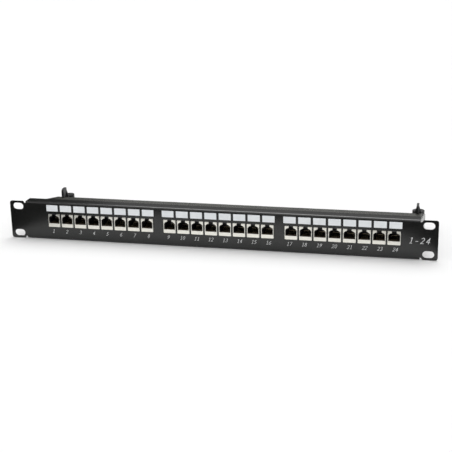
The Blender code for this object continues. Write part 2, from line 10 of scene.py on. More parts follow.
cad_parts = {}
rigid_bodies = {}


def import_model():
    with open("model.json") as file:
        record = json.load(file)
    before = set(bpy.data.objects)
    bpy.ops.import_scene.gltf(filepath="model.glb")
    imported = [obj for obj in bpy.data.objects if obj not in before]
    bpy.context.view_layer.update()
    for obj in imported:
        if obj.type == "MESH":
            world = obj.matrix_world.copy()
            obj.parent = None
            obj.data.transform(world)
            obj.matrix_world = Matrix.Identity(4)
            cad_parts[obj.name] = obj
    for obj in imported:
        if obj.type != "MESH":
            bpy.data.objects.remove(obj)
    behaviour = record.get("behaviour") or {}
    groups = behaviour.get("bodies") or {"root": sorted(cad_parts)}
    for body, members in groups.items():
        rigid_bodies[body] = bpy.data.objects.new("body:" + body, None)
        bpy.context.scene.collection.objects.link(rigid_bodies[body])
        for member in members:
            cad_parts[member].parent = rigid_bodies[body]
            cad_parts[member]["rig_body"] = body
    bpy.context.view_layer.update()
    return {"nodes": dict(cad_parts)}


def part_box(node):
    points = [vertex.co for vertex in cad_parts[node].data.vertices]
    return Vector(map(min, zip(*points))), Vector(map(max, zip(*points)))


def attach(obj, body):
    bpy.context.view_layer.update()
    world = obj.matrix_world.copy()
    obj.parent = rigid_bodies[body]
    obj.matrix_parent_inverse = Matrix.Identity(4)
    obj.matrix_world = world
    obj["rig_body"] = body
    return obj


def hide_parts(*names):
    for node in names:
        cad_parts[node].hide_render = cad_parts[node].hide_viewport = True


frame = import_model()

MM = 0.001

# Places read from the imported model.
PLATE_LOW, PLATE_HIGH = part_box("front_panel")
PLATE_Y = PLATE_LOW.y
JACKS = sorted(name for name in frame["nodes"] if name.startswith("jack_"))
BLOCKS = sorted(name for name in frame["nodes"] if name.startswith("idc_block_"))
BOARDS = sorted(name for name in frame["nodes"] if name.startswith("circuit_board_"))
STRIPS = sorted(name for name in frame["nodes"] if name.startswith("label_strip_"))
STANDOFFS = sorted(name for name in frame["nodes"] if name.startswith("standoff_"))
GROUP_PORTS = len(JACKS) // len(STRIPS)

# Socket shape, from its floor up, as in the CAD jack. The shell's opening is spread to show the insert.
SHELL_SHEET = 0.4 * MM
SHELL_SPREAD = 0.3 * MM
SHELL_CORNER = 0.6 * MM
SHELL_SEAM = 0.3 * MM
SIDE_WINDOW_Y = (5.0 * MM, 13.0 * MM)
SIDE_WINDOW_Z = (4.5 * MM, 11.5 * MM)
TONGUE_Y = (4.6 * MM, 12.4 * MM)
TONGUE_Z = (5.6 * MM, 10.4 * MM)
TONGUE_SHEET = 0.3 * MM
TONGUE_BOW = 0.42 * MM
TONGUE_INSET = 0.45 * MM
INSERT_GAP = 0.05 * MM
INSERT_CORNER = 0.25 * MM
SOCKET_WIDTH = 12.0 * MM
SOCKET_FLOOR = 4.05 * MM
SOCKET_SIDES = 5.8 * MM
SOCKET_ARCH = 3.7 * MM
SOCKET_DEPTH = 14.6 * MM
NOTCH_WIDTH = 5.0 * MM
NOTCH_MARGIN = 0.4 * MM
NOTCH_SETBACK = 3.0 * MM
CONTACTS = 8
CONTACT_PITCH = 1.016 * MM
CONTACT_HALF = 0.26 * MM
CONTACT_THICKNESS = 0.22 * MM
GROOVE_HALF = 0.3 * MM
GROOVE_FRONT = 1.5 * MM
BED_FRONT = 0.6 * MM
BED_LENGTH = 6.0 * MM
BED_RISE = 0.13 * MM

# Label fields, and the printed numerals below the sockets and at the right end.
LABEL_PITCH = 16.294 * MM
LABEL_WIDTH = 13.6 * MM
NUMBER_HEIGHT = 4.3 * MM
NUMBER_BASE = 7.85 * MM
RANGE_X = 223.2 * MM
RANGE_HEIGHT = 6.9 * MM
RANGE_BASE = 17.9 * MM
RANGE_ADVANCE = 0.86
PRINT_LEAN = 14.0
PRINT_ADVANCE = 0.70
PRINT_STRETCH = 1.08
PRINT_THICKNESS = 0.05 * MM

# Punch-down blocks, as in the CAD block.
BLOCK_SLOTS = 8
SLOT_PITCH = 3.4 * MM
SLOT_WIDTH = 1.0 * MM
SLOT_DEPTH = 7.0 * MM
BLOCK_GROOVE_WIDTH = 3.0 * MM
BLOCK_GROOVE_DEPTH = 9.0 * MM
BLOCK_CHAMFER = 0.7 * MM
BLOCK_TAPER_HEIGHT = 4.0 * MM
BLOCK_TAPER_DEPTH = 1.4 * MM

# Board details: tracks that spread from the contacts, soldered lugs and pan-head screws.
TRACK_HALF = 0.14 * MM
TRACK_SPREAD = 1.75 * MM
TRACK_STAGGER = 0.55 * MM
TRACK_LOW = -0.02 * MM
TRACK_HIGH = 0.05 * MM
PAD_RADIUS = 0.42 * MM
LUG_INSET = 1.6 * MM
LUG_BEHIND = 3.4 * MM
SCREW_HEAD = 2.75 * MM
SCREW_HEAD_HEIGHT = 1.9 * MM
SCREW_SHANK = 1.25 * MM
SCREW_LENGTH = 3.0 * MM
THREAD_PITCH = 0.7 * MM
THREAD_DEPTH = 0.36 * MM

# Studio: light levels, the floor under the panel, and the bright oval in front of it.
WORLD_FRONT = 1.08
WORLD_BACK = 0.3
WORLD_HORIZON = 0.25
WORLD_CLEAR = 0.55
KEY_POWER = 1.62
KEY_ELEVATION = 64.0
KEY_ANGLE = 64.0
KEY_TURN = -10.0
STRIP_POWER = 8.6
STRIP_PLACE = (-0.14, 0.30, 1.28)
STRIP_SIZE = (0.88, 0.60)
FLOOR_GAP = 0.2 * MM
FLOOR_REACH = 14.0
CARD_HEIGHT = 0.3 * MM
CARD_REACH = 1.6
CARD_COLOR = (0.004, 0.004, 0.004)
POOL_X = -2.0 * MM
POOL_REACH_X = 250.0 * MM
POOL_REACH_Y = 142.0 * MM
SHADE_RADIUS = 1.3
SHADE_EDGE = -0.6
SHADE_END = -2.2
SHADE_TURN = 110.0

# Camera: place, and turns from level and straight along +Y.
CAMERA_PLACE = (272.1 * MM, PLATE_Y - 1072.8 * MM, 371.9 * MM)
CAMERA_YAW = 13.59
CAMERA_PITCH = 17.37
CAMERA_ROLL = -1.18
CAMERA_LENS = 83.67


# ---------------------------------------------------------------- materials


class Nodes:
    """A new material's node tree, with short calls for the nodes that the finishes share."""

    def __init__(self, name):
        self.material = bpy.data.materials.new(name)
        self.material.use_nodes = True
        self.tree = self.material.node_tree
        self.shader = self.tree.nodes["Principled BSDF"]
        self.coordinates = self.tree.nodes.new("ShaderNodeTexCoord").outputs["Object"]

    def add(self, kind, **inputs):
        node = self.tree.nodes.new(kind)
        for name, value in inputs.items():
            self.put(node.inputs[name.replace("_", " ")], value)
        return node

    def put(self, socket, value):
        if isinstance(value, bpy.types.NodeSocket):
            self.tree.links.new(value, socket)
        else:
            socket.default_value = value

    def set(self, **inputs):
        for name, value in inputs.items():
            self.put(self.shader.inputs[name.replace("_", " ")], value)

    def stretched(self, scale):
        """Object coordinates stretched along the axes."""
        return self.add("ShaderNodeMapping", Vector=self.coordinates, Scale=scale).outputs["Vector"]

    def noise(self, scale, detail=3.0, vector=None):
        node = self.add("ShaderNodeTexNoise", Scale=scale, Detail=detail)
        self.put(node.inputs["Vector"], vector or self.coordinates)
        return node.outputs["Fac"]

    def ramp(self, value, low, high, low_color, high_color):
        """Two colours blended over a stretch of a value."""
        node = self.add("ShaderNodeValToRGB", Fac=value)
        start, end = node.color_ramp.elements
        start.position, end.position = low, high
        start.color = (*low_color, 1.0)
        end.color = (*high_color, 1.0)
        return node.outputs["Color"]

    def between(self, value, low, high):
        """A 0 to 1 value mapped to a range."""
        node = self.add("ShaderNodeMapRange", Value=value)
        node.inputs["To Min"].default_value = low
        node.inputs["To Max"].default_value = high
        return node.outputs["Result"]

    def bump(self, height, depth, strength=1.0, normal=None):
        node = self.add("ShaderNodeBump", Height=height, Distance=depth, Strength=strength)
        if normal:
            self.put(node.inputs["Normal"], normal)
        return node.outputs["Normal"]


def powder_coat(name, color, rough, specular=0.5):
    """Fine-textured black powder coat: an orange-peel skin with a finer grain over it."""
    made = Nodes(name)
    patches = made.noise(55.0, 2.0)
    peel = made.noise(900.0, 2.0)
    grain = made.noise(4200.0, 2.0)
    dark = tuple(value * 0.86 for value in color)
    light = tuple(value * 1.16 for value in color)
    made.set(
        Base_Color=made.ramp(patches, 0.35, 0.65, dark, light),
        Roughness=made.between(grain, rough - 0.05, rough + 0.05),
        Specular_IOR_Level=specular,
        Normal=made.bump(grain, 0.012 * MM, 0.5, made.bump(peel, 0.03 * MM, 0.6)),
    )
    return made.material


def metal(name, color, rough, grain_scale, lines=(1.0, 1.0, 1.0), depth=0.004):
    """Plated metal: even colour with a little cloud, and rolling lines where the axes are stretched."""
    made = Nodes(name)
    clouds = made.noise(180.0, 2.0)
    grain = made.noise(grain_scale, 3.0, made.stretched(lines))
    dark = tuple(value * 0.93 for value in color)
    made.set(
        Base_Color=made.ramp(clouds, 0.3, 0.7, dark, color),
        Metallic=1.0,
        Roughness=made.between(grain, rough - 0.06, rough + 0.08),
        Normal=made.bump(grain, depth * MM, 0.6),
    )
    return made.material


def moulded(name, color, rough, grain_depth=0.01):
    """Moulded plastic with a fine spark-eroded grain and slight shade changes."""
    made = Nodes(name)
    flow = made.noise(120.0, 2.0)
    grain = made.noise(5200.0, 2.0)
    dark = tuple(value * 0.92 for value in color)
    made.set(
        Base_Color=made.ramp(flow, 0.3, 0.7, dark, color),
        Roughness=made.between(grain, rough - 0.05, rough + 0.06),
        Normal=made.bump(grain, grain_depth * MM, 0.6),
    )
    return made.material


def writing_film(name):
    """Matt white film with the faint tooth that a pen needs."""
    made = Nodes(name)
    tooth = made.noise(6500.0, 4.0)
    shade = made.noise(90.0, 2.0)
    made.set(
        Base_Color=made.ramp(shade, 0.3, 0.7, (0.80, 0.83, 0.85), (0.85, 0.875, 0.89)),
        Roughness=made.between(tooth, 0.48, 0.62),
        Normal=made.bump(tooth, 0.006 * MM, 0.5),
    )
    return made.material


def solder_mask(name):
    """Green board: lighter copper runs showing through the mask."""
    made = Nodes(name)
    weave = made.noise(1400.0, 2.0)
    runs = made.add("ShaderNodeTexBrick", Vector=made.coordinates, Scale=260.0)
    runs.offset = 0.5
    runs.inputs["Mortar Size"].default_value = 0.06
    runs.inputs["Color1"].default_value = (0.012, 0.10, 0.045, 1.0)
    runs.inputs["Color2"].default_value = (0.016, 0.12, 0.052, 1.0)
    runs.inputs["Mortar"].default_value = (0.03, 0.20, 0.085, 1.0)
    made.set(
        Base_Color=runs.outputs["Color"],
        Roughness=made.between(weave, 0.22, 0.34),
        Normal=made.bump(weave, 0.01 * MM, 0.4),
        Coat_Weight=0.3,
    )
    return made.material


def plain_stage(name, color, rough):
    """One matt colour, for the floor and the cards."""
    made = Nodes(name)
    made.set(Base_Color=(*color, 1.0), Roughness=rough, Specular_IOR_Level=0.0)
    return made.material


# ---------------------------------------------------------------- shapes


def prism(outline, axis, low, high):
    """A closed bmesh: an outline in the two other axes, in X, Y, Z order, extruded along one axis."""
    across = [number for number, letter in enumerate("XYZ") if letter != axis]
    along = "XYZ".index(axis)
    made = bmesh.new()
    rings = []
    for level in (low, high):
        ring = []
        for point in outline:
            place = [0.0, 0.0, 0.0]
            place[across[0]], place[across[1]] = point
            place[along] = level
            ring.append(made.verts.new(place))
        rings.append(ring)
        made.faces.new(ring)
    count = len(outline)
    for start in range(count):
        end = (start + 1) % count
        made.faces.new((rings[0][start], rings[0][end], rings[1][end], rings[1][start]))
    bmesh.ops.recalc_face_normals(made, faces=made.faces)
    return made


def box(low, high):
    corners = [(low[0], low[1]), (high[0], low[1]), (high[0], high[1]), (low[0], high[1])]
    return prism(corners, "Z", low[2], high[2])


def arc(centre, radius, start, end, steps):
    """Points on a circle from one angle to another, in degrees, both ends included."""
    turns = [math.radians(start + (end - start) * step / steps) for step in range(steps + 1)]
    return [(centre[0] + radius * math.cos(turn), centre[1] + radius * math.sin(turn)) for turn in turns]


def rounded(centre, width, height, radius, steps=4):
    """A rectangle with round corners, anticlockwise."""
    x, y = width / 2 - radius, height / 2 - radius
    points = []
    for side_x, side_y, start in ((1, -1, -90), (1, 1, 0), (-1, 1, 90), (-1, -1, 180)):
        corner = (centre[0] + side_x * x, centre[1] + side_y * y)
        points += arc(corner, radius, start, start + 90, steps)
    return points


def turned(profile, sides=32):
    """A closed bmesh turned about the Z axis from a profile of radius and height that ends on the axis."""
    made = bmesh.new()
    bottom = made.verts.new((0.0, 0.0, profile[0][1]))
    top = made.verts.new((0.0, 0.0, profile[-1][1]))
    rings = []
    for radius, height in profile[1:-1]:
        ring = arc((0.0, 0.0), radius, 0.0, 360.0, sides)[:-1]
        rings.append([made.verts.new((x, y, height)) for x, y in ring])
    for side in range(sides):
        other = (side + 1) % sides
        made.faces.new((bottom, rings[0][other], rings[0][side]))
        made.faces.new((top, rings[-1][side], rings[-1][other]))
        for lower, upper in zip(rings, rings[1:]):
            made.faces.new((lower[side], lower[other], upper[other], upper[side]))
    bmesh.ops.recalc_face_normals(made, faces=made.faces)
    return made


def joined(pieces):
    """One bmesh that holds several closed shapes."""
    whole = bmesh.new()
    for piece in pieces:
        mesh = bpy.data.meshes.new("joined")
        piece.to_mesh(mesh)
        piece.free()
        whole.from_mesh(mesh)
        bpy.data.meshes.remove(mesh)
    return whole


def mesh_of(name, shape):
    mesh = bpy.data.meshes.new(name)
    shape.to_mesh(mesh)
    shape.free()
    return mesh


def combined(base, *steps):
    """A bmesh after exact Booleans: each step is an operation and a shape."""
    made = bpy.data.objects.new("combined", mesh_of("combined", base))
    bpy.context.scene.collection.objects.link(made)
    helpers = []
    for operation, shape in steps:
        helper = bpy.data.objects.new("helper", mesh_of("helper", shape))
        bpy.context.scene.collection.objects.link(helper)
        modifier = made.modifiers.new(operation, "BOOLEAN")
        modifier.operation = operation
        modifier.solver = "EXACT"
        modifier.object = helper
        helpers.append(helper)
    bpy.context.view_layer.update()
    shape = bmesh.new()
    shape.from_object(made, bpy.context.evaluated_depsgraph_get())
    for spent in [*helpers, made]:
        bpy.data.objects.remove(spent, do_unlink=True)
    return split_wide_faces(shape)


def split_wide_faces(shape):
    """Cuts faces of more than four sides into triangles, which keeps faces with holes sound."""
    wide = [face for face in shape.faces if len(face.verts) > 4]
    bmesh.ops.triangulate(shape, faces=wide, ngon_method="BEAUTY")
    return shape


def flattened(shape):
    """Merges doubled points and joins coplanar faces, so that only true edges are left."""
    bmesh.ops.remove_doubles(shape, verts=shape.verts, dist=0.002 * MM)
    bmesh.ops.dissolve_limit(
        shape,
        angle_limit=math.radians(0.5),
        verts=shape.verts,
        edges=shape.edges,
    )
    return split_wide_faces(shape)


def soften(made, width, segments=2):
    """Rounds the edges of a piece and keeps its flat faces flat."""
    modifier = made.modifiers.new("Soft edges", "BEVEL")
    modifier.width = width
    modifier.segments = segments
    modifier.limit_method = "ANGLE"
    modifier.angle_limit = math.radians(30.0)
    modifier.harden_normals = True
    modifier.use_clamp_overlap = True
    made.data.shade_smooth()
    made.data.set_sharp_from_angle(angle=math.radians(40.0))


def add_piece(name, mesh, material, body, place=(0.0, 0.0, 0.0)):
    """A piece of the object: its material and the body that it rides on."""
    made = bpy.data.objects.new(name, mesh)
    if not mesh.materials:
        mesh.materials.append(material)
    made.location = place
    bpy.context.scene.collection.objects.link(made)
    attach(made, body)
    return made


def soft_copy(node, material, width, segments=2):
    """The CAD node's own shape with rounded edges, standing for the node."""
    source = frame["nodes"][node]
    shape = bmesh.new()
    shape.from_mesh(source.data)
    mesh = mesh_of(f"{node}_skin", flattened(shape))
    made = add_piece(f"{node}_skin", mesh, material, source["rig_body"])
    soften(made, width, segments)
    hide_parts(node)
    return made


# ---------------------------------------------------------------- folded sheet


def sheet_parts():
    """The folded front, the tray and the bar. The front has the coarser coat."""
    coat = powder_coat("textured_black_coat", (0.0095, 0.0101, 0.0094), 0.25, 0.62)
    # Lighter than the front's coat: partly a dark grey paint, partly a painted sheen for the brighter
    # reflection along the tray's rim.
    tray_coat_painted_sheen = powder_coat("satin_coat_with_painted_sheen", (0.072, 0.0725, 0.066), 0.26, 0.9)
    soft_copy("front_panel", coat, 0.3 * MM, 3)
    soft_copy("rear_tray", tray_coat_painted_sheen, 0.25 * MM, 2)
    soft_copy("cable_bar", tray_coat_painted_sheen, 0.25 * MM, 2)


# ---------------------------------------------------------------- sockets


def socket_outline(notch_top, inset=0.0, spread=0.0):
    """The socket in X and Z, from the jack's bottom: straight sides, an arched top and a latch notch."""
    half = SOCKET_WIDTH / 2 - inset + spread
    notch = NOTCH_WIDTH / 2 - inset
    floor = SOCKET_FLOOR + inset
    spring = SOCKET_FLOOR + SOCKET_SIDES
    rise = SOCKET_ARCH - inset
    top = notch_top - inset
    steps = 10
    last = math.acos(notch / half)
    turns = [last * step / steps for step in range(steps + 1)]
    arch = [(half * math.cos(turn), spring + rise * math.sin(turn)) for turn in turns]
    right = [(half, floor), *arch, (notch, top)]
    return right + [(-x, z) for x, z in reversed(right)]


def shell_shape(size):
    """The socket's metal shell: a folded can with the socket opening in its face, open behind."""
    width, depth, height = size
    middle = (0.0, height / 2)
    sheet = SHELL_SHEET
    can = prism(rounded(middle, width, height, SHELL_CORNER), "Y", 0.0, depth)
    inside = rounded(middle, width - 2 * sheet, height - 2 * sheet, SHELL_CORNER / 2)
    hollow = prism(inside, "Y", sheet, depth + MM)
    opening = prism(socket_outline(height + MM, 0.0, SHELL_SPREAD), "Y", -MM, MM)
    seam = box((-SHELL_SEAM / 2, 3 * MM, height - MM), (SHELL_SEAM / 2, depth + MM, height + MM))
    notch = box((-NOTCH_WIDTH / 2, -MM, height - MM), (NOTCH_WIDTH / 2, NOTCH_SETBACK, height + MM))
    windows = [seam]
    tongues = []
    for side in (-1, 1):
        wall = side * width / 2
        ends = sorted((wall - side * MM, wall + side * MM))
        low = (ends[0], SIDE_WINDOW_Y[0], SIDE_WINDOW_Z[0])
        windows.append(box(low, (ends[1], SIDE_WINDOW_Y[1], SIDE_WINDOW_Z[1])))
        tongues.append(spring_tongue(wall, side))
    can = combined(
        can,
        ("DIFFERENCE", hollow),
        ("DIFFERENCE", opening),
        ("DIFFERENCE", notch),
        ("DIFFERENCE", joined(windows)),
    )
    return joined([can, *tongues])


def spring_tongue(wall, side):
    """A sprung tongue that bows out through a window in the shell's side."""
    front, rear = TONGUE_Y
    steps = 8
    outer, inner = [], []
    for step in range(steps + 1):
        share = step / steps
        y = front + (rear - front) * share
        x = wall + side * (TONGUE_BOW * math.sin(math.pi * share) - TONGUE_INSET)
        outer.append((x, y))
        inner.append((x - side * TONGUE_SHEET, y))
    return prism(outer + inner[::-1], "Z", *TONGUE_Z)


def insert_shape(size):
    """The black insert in the shell: a block with the socket in it and a comb of contact grooves."""
    width, depth, height = size
    gap = SHELL_SHEET + INSERT_GAP
    middle = (0.0, height / 2)
    outline = rounded(middle, width - 2 * gap, height - 2 * gap, INSERT_CORNER)
    block = prism(outline, "Y", gap, depth - 0.5 * MM)
    cavity = prism(socket_outline(height - NOTCH_MARGIN, 0.1 * MM), "Y", 0.0, SOCKET_DEPTH)
    grooves = []
    floor = SOCKET_FLOOR
    for x in contact_places():
        low = (x - GROOVE_HALF, GROOVE_FRONT, floor - 0.5 * MM)
        grooves.append(box(low, (x + GROOVE_HALF, SOCKET_DEPTH - 0.3 * MM, floor + MM)))
    return combined(block, ("DIFFERENCE", cavity), ("DIFFERENCE", joined(grooves)))


def contact_places():
    return [(number - (CONTACTS - 1) / 2) * CONTACT_PITCH for number in range(CONTACTS)]


def contacts_shape():
    """Eight sprung contacts: round ends in the floor's grooves, a long rise, and turned-up rear ends."""
    floor = SOCKET_FLOOR
    route = [
        (1.3 * MM, floor - 0.45 * MM),
        (1.8 * MM, floor - 0.02 * MM),
        (2.4 * MM, floor + 0.12 * MM),
        (4.2 * MM, floor + 0.2 * MM),
        (5.0 * MM, floor + 0.45 * MM),
        (12.4 * MM, floor + 2.2 * MM),
        (12.9 * MM, floor + 2.4 * MM),
        (13.15 * MM, floor + 2.9 * MM),
        (13.6 * MM, floor + 3.1 * MM),
    ]
    outline = route + [(y, z - CONTACT_THICKNESS) for y, z in reversed(route)]
    return joined([prism(outline, "X", x - CONTACT_HALF, x + CONTACT_HALF) for x in contact_places()])


def bed_shape():
    """The contact carrier's front: a strip of floor between the contacts, with its front edge sloped."""
    reach = SOCKET_WIDTH / 2 - 0.3 * MM
    floor = SOCKET_FLOOR + BED_RISE
    edge = 0.3 * MM
    outline = [(BED_FRONT, floor - MM), (BED_FRONT, floor - edge), (BED_FRONT + edge, floor)]
    outline += [(BED_LENGTH, floor), (BED_LENGTH, floor - MM)]
    return prism(outline, "X", -reach, reach)


def finished_mesh(name, shape, width, material, segments=2):
    """A mesh with its edges already rounded, for pieces that share it."""
    draft = bpy.data.objects.new(name, mesh_of(name, shape))
    bpy.context.scene.collection.objects.link(draft)
    soften(draft, width, segments)
    bpy.context.view_layer.update()
    evaluated = draft.evaluated_get(bpy.context.evaluated_depsgraph_get())
    mesh = bpy.data.meshes.new_from_object(evaluated)
    mesh.name = name
    bpy.data.objects.remove(draft, do_unlink=True)
    mesh.materials.clear()
    mesh.materials.append(material)
    return mesh


def socket_parts():
    nickel = metal("warm_nickel", (0.96, 0.945, 0.865), 0.32, 900.0, depth=0.003)
    black = moulded("socket_black", (0.007, 0.007, 0.008), 0.5)
    brown = moulded("contact_bed_brown", (0.085, 0.062, 0.042), 0.5)
    gold = metal("contact_gold_plate", (0.88, 0.74, 0.50), 0.36, 1500.0, (1.0, 0.1, 1.0), 0.001)
    low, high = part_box(JACKS[0])
    size = high - low
    shell = finished_mesh("socket_shell", shell_shape(size), 0.12 * MM, nickel)
    insert = finished_mesh("socket_insert", insert_shape(size), 0.08 * MM, black)
    wires = finished_mesh("socket_contacts", contacts_shape(), 0.05 * MM, gold)
    bed = finished_mesh("socket_bed", bed_shape(), 0.05 * MM, brown)
    for node in JACKS:
        number = node.split("_")[-1]
        low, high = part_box(node)
        place = ((low.x + high.x) / 2, low.y, low.z)
        skin = add_piece(f"socket_shell_{number}", shell, nickel, "chassis", place)
        add_piece(f"socket_insert_{number}", insert, black, "chassis", place)
        add_piece(f"socket_contacts_{number}", wires, gold, "chassis", place)
        add_piece(f"socket_bed_{number}", bed, brown, "chassis", place)
        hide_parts(node)


# ---------------------------------------------------------------- labels and printing


def field_place(field):
    """X of a writing field's centre from its strip's centre. The numbers below keep to the same pitch."""
    return (field - (GROUP_PORTS - 1) / 2) * LABEL_PITCH


def label_parts():
    """Each strip: a dark carrier film, and eight white writing fields on it."""
    film = writing_film("white_writing_film")
    carrier = moulded("dark_carrier_film", (0.008, 0.008, 0.009), 0.42)
    for node in STRIPS:
        number = node.split("_")[-1]
        low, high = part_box(node)
        size = high - low
        place = ((low.x + high.x) / 2, low.y, (low.z + high.z) / 2)
        back = prism(rounded((0.0, 0.0), size.x, size.z, 0.4 * MM), "Y", 0.12 * MM, size.y)
        backing = finished_mesh("label_carrier", back, 0.04 * MM, carrier)
        made = add_piece(f"label_carrier_{number}", backing, carrier, "chassis", place)
        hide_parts(node)
        fields = []
        for field in range(GROUP_PORTS):
            outline = rounded((field_place(field), 0.0), LABEL_WIDTH, size.z, 0.35 * MM)
            fields.append(prism(outline, "Y", 0.0, 0.14 * MM))
        white = finished_mesh("label_fields", joined(fields), 0.03 * MM, film)
        add_piece(f"label_fields_{number}", white, film, "chassis", place)


def bow(centre_x, centre_z, reach_x, reach_z, start, end, steps=14):
    """Points on an upright ellipse between two angles in degrees."""
    turns = [math.radians(start + (end - start) * step / steps) for step in range(steps + 1)]
    return [(centre_x + reach_x * math.cos(turn), centre_z + reach_z * math.sin(turn)) for turn in turns]


def ring(centre_x, centre_z, reach_x, reach_z):
    return [
        bow(centre_x, centre_z, reach_x, reach_z, 90, 270),
        bow(centre_x, centre_z, reach_x, reach_z, -90, 90),
    ]


def glyph_strokes(character):
    """The pen strokes of one numeral or dash, one unit high."""
    if character == "9":
        return [[(0.56 - x, 1.0 - z) for x, z in stroke] for stroke in glyph_strokes("6")]
    return {
        "0": ring(0.28, 0.5, 0.21, 0.46),
        "1": [[(0.13, 0.84), (0.30, 0.95)], [(0.30, 0.95), (0.30, 0.03)], [(0.14, 0.03), (0.46, 0.03)]],
        "2": [
            bow(0.27, 0.70, 0.20, 0.26, 160, -38),
            [(0.43, 0.54), (0.07, 0.05)],
            [(0.07, 0.05), (0.50, 0.05)],
        ],
        "3": [bow(0.26, 0.74, 0.18, 0.22, 150, -88), bow(0.25, 0.28, 0.22, 0.25, 88, -150)],
        "4": [[(0.38, 0.95), (0.05, 0.30)], [(0.05, 0.30), (0.53, 0.30)], [(0.38, 0.95), (0.38, 0.03)]],
        "5": [
            [(0.17, 0.95), (0.48, 0.95)],
            [(0.17, 0.95), (0.13, 0.54)],
            bow(0.23, 0.30, 0.23, 0.27, 118, -140),
        ],
        "6": [*ring(0.28, 0.28, 0.20, 0.25), bow(0.50, 0.28, 0.42, 0.67, 98, 180)],
        "7": [[(0.08, 0.95), (0.50, 0.95)], [(0.50, 0.95), (0.20, 0.03)]],
        "8": [*ring(0.28, 0.75, 0.16, 0.21), *ring(0.28, 0.28, 0.20, 0.25)],
        "-": [[(0.12, 0.38), (0.44, 0.38)]],
    }[character]


def nib_outline(path):
    """The closed outline that a flat oval nib leaves along a path: thick uprights and thin levels."""
    wide, thin = 0.044, 0.034

    def edge(angle):
        x, z = math.cos(angle), math.sin(angle)
        reach = math.hypot(wide * x, thin * z)
        return (wide * wide * x / reach, thin * thin * z / reach)

    headings = []
    last = len(path) - 1
    for number in range(len(path)):
        before, after = path[max(number - 1, 0)], path[min(number + 1, last)]
        headings.append(math.atan2(after[1] - before[1], after[0] - before[0]))
    quarter = math.pi / 2
    cap = [quarter * step / 4 for step in range(-3, 4)]
    left = [(point, heading + quarter) for point, heading in zip(path, headings)]
    right = [(point, heading - quarter) for point, heading in zip(path, headings)]
    end = [(path[-1], headings[-1] - turn) for turn in cap]
    start = [(path[0], headings[0] + math.pi - turn) for turn in cap]
    outline = []
    for (x, z), angle in [*left, *end, *right[::-1], *start]:
        shift_x, shift_z = edge(angle)
        outline.append((x + shift_x, z + shift_z))
    return outline


def glyph_mesh(character):
    """One numeral as a thin closed solid, one unit high and leaning like italics."""
    strokes = [prism(nib_outline(path), "Y", 0.0, 1.0) for path in glyph_strokes(character)]
    shape = strokes[0]
    if len(strokes) > 1:
        shape = combined(shape, *[("UNION", stroke) for stroke in strokes[1:]])
    bmesh.ops.remove_doubles(shape, verts=shape.verts, dist=0.0005)
    bmesh.ops.dissolve_limit(shape, angle_limit=math.radians(1.0), verts=shape.verts, edges=shape.edges)
    lean = Matrix.Identity(4)
    lean[0][2] = math.tan(math.radians(PRINT_LEAN))
    bmesh.ops.transform(shape, matrix=lean, verts=shape.verts)
    return mesh_of(f"glyph_{character}", shape)


def lettering(text, height, glyphs, advance=PRINT_ADVANCE):
    """A line of numerals centred on X 0, standing on Z 0."""
    grow = Matrix.Diagonal((PRINT_STRETCH * height, PRINT_THICKNESS, height, 1.0))
    line = bmesh.new()
    for place, character in enumerate(text):
        move = Matrix.Translation((advance * height * place, 0.0, 0.0))
        piece = glyphs[character].copy()
        piece.transform(move @ grow)
        line.from_mesh(piece)
        bpy.data.meshes.remove(piece)
    ends = [corner.co.x for corner in line.verts]
    middle = (min(ends) + max(ends)) / 2
    bmesh.ops.translate(line, vec=(-middle, 0.0, 0.0), verts=line.verts)
    return line


def printing():
    """Port numbers below the sockets, and the range of ports at the right end."""
    ink = moulded("white_ink", (0.80, 0.81, 0.81), 0.5, 0.002)
    glyphs = {character: glyph_mesh(character) for character in "0123456789-"}
    front = PLATE_Y - PRINT_THICKNESS * 0.8
    for port in range(len(JACKS)):
        group, field = divmod(port, GROUP_PORTS)
        low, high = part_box(STRIPS[group])
        x = (low.x + high.x) / 2 + field_place(field)
        mesh = mesh_of(f"number_{port + 1:02d}", lettering(str(port + 1), NUMBER_HEIGHT, glyphs))
        place = (x, front, NUMBER_BASE)
        add_piece(f"number_{port + 1:02d}", mesh, ink, "chassis", place)
    mesh = mesh_of("port_range", lettering(f"1-{len(JACKS)}", RANGE_HEIGHT, glyphs, RANGE_ADVANCE))
    add_piece("port_range", mesh, ink, "chassis", (RANGE_X, front, RANGE_BASE))


# ---------------------------------------------------------------- boards and punch-down blocks


def block_shape(size):
    """A punch-down block from its own bottom centre: tapered fingers, wire slots with lead-ins, a groove."""
    half_x, half_y, height = size.x / 2, size.y / 2, size.z
    floor = height - SLOT_DEPTH
    lead = BLOCK_CHAMFER
    outline = [(half_x, 0.0), (half_x, height - lead), (half_x - lead, height)]
    for x in reversed(block_slots()):
        near, far = x + SLOT_WIDTH / 2, x - SLOT_WIDTH / 2
        outline += [(near + lead, height), (near, height - 1.6 * lead), (near, floor)]
        outline += [(far, floor), (far, height - 1.6 * lead), (far - lead, height)]
    outline += [(-half_x + lead, height), (-half_x, height - lead), (-half_x, 0.0)]
    body = prism(outline, "Y", -half_y, half_y)
    low = (-2 * half_x, -BLOCK_GROOVE_WIDTH / 2, height - BLOCK_GROOVE_DEPTH)
    groove = box(low, (2 * half_x, BLOCK_GROOVE_WIDTH / 2, 2 * height))
    shoulder = height - BLOCK_TAPER_HEIGHT
    slopes = []
    for side in (-1, 1):
        taper = [(side * half_y, shoulder), (side * 2 * half_y, shoulder)]
        taper += [(side * 2 * half_y, height + MM), (side * (half_y - BLOCK_TAPER_DEPTH), height + MM)]
        slopes.append(prism(taper, "X", -2 * half_x, 2 * half_x))
    return combined(body, ("DIFFERENCE", groove), ("DIFFERENCE", joined(slopes)))


def block_slots():
    return [(slot - (BLOCK_SLOTS - 1) / 2) * SLOT_PITCH for slot in range(BLOCK_SLOTS)]


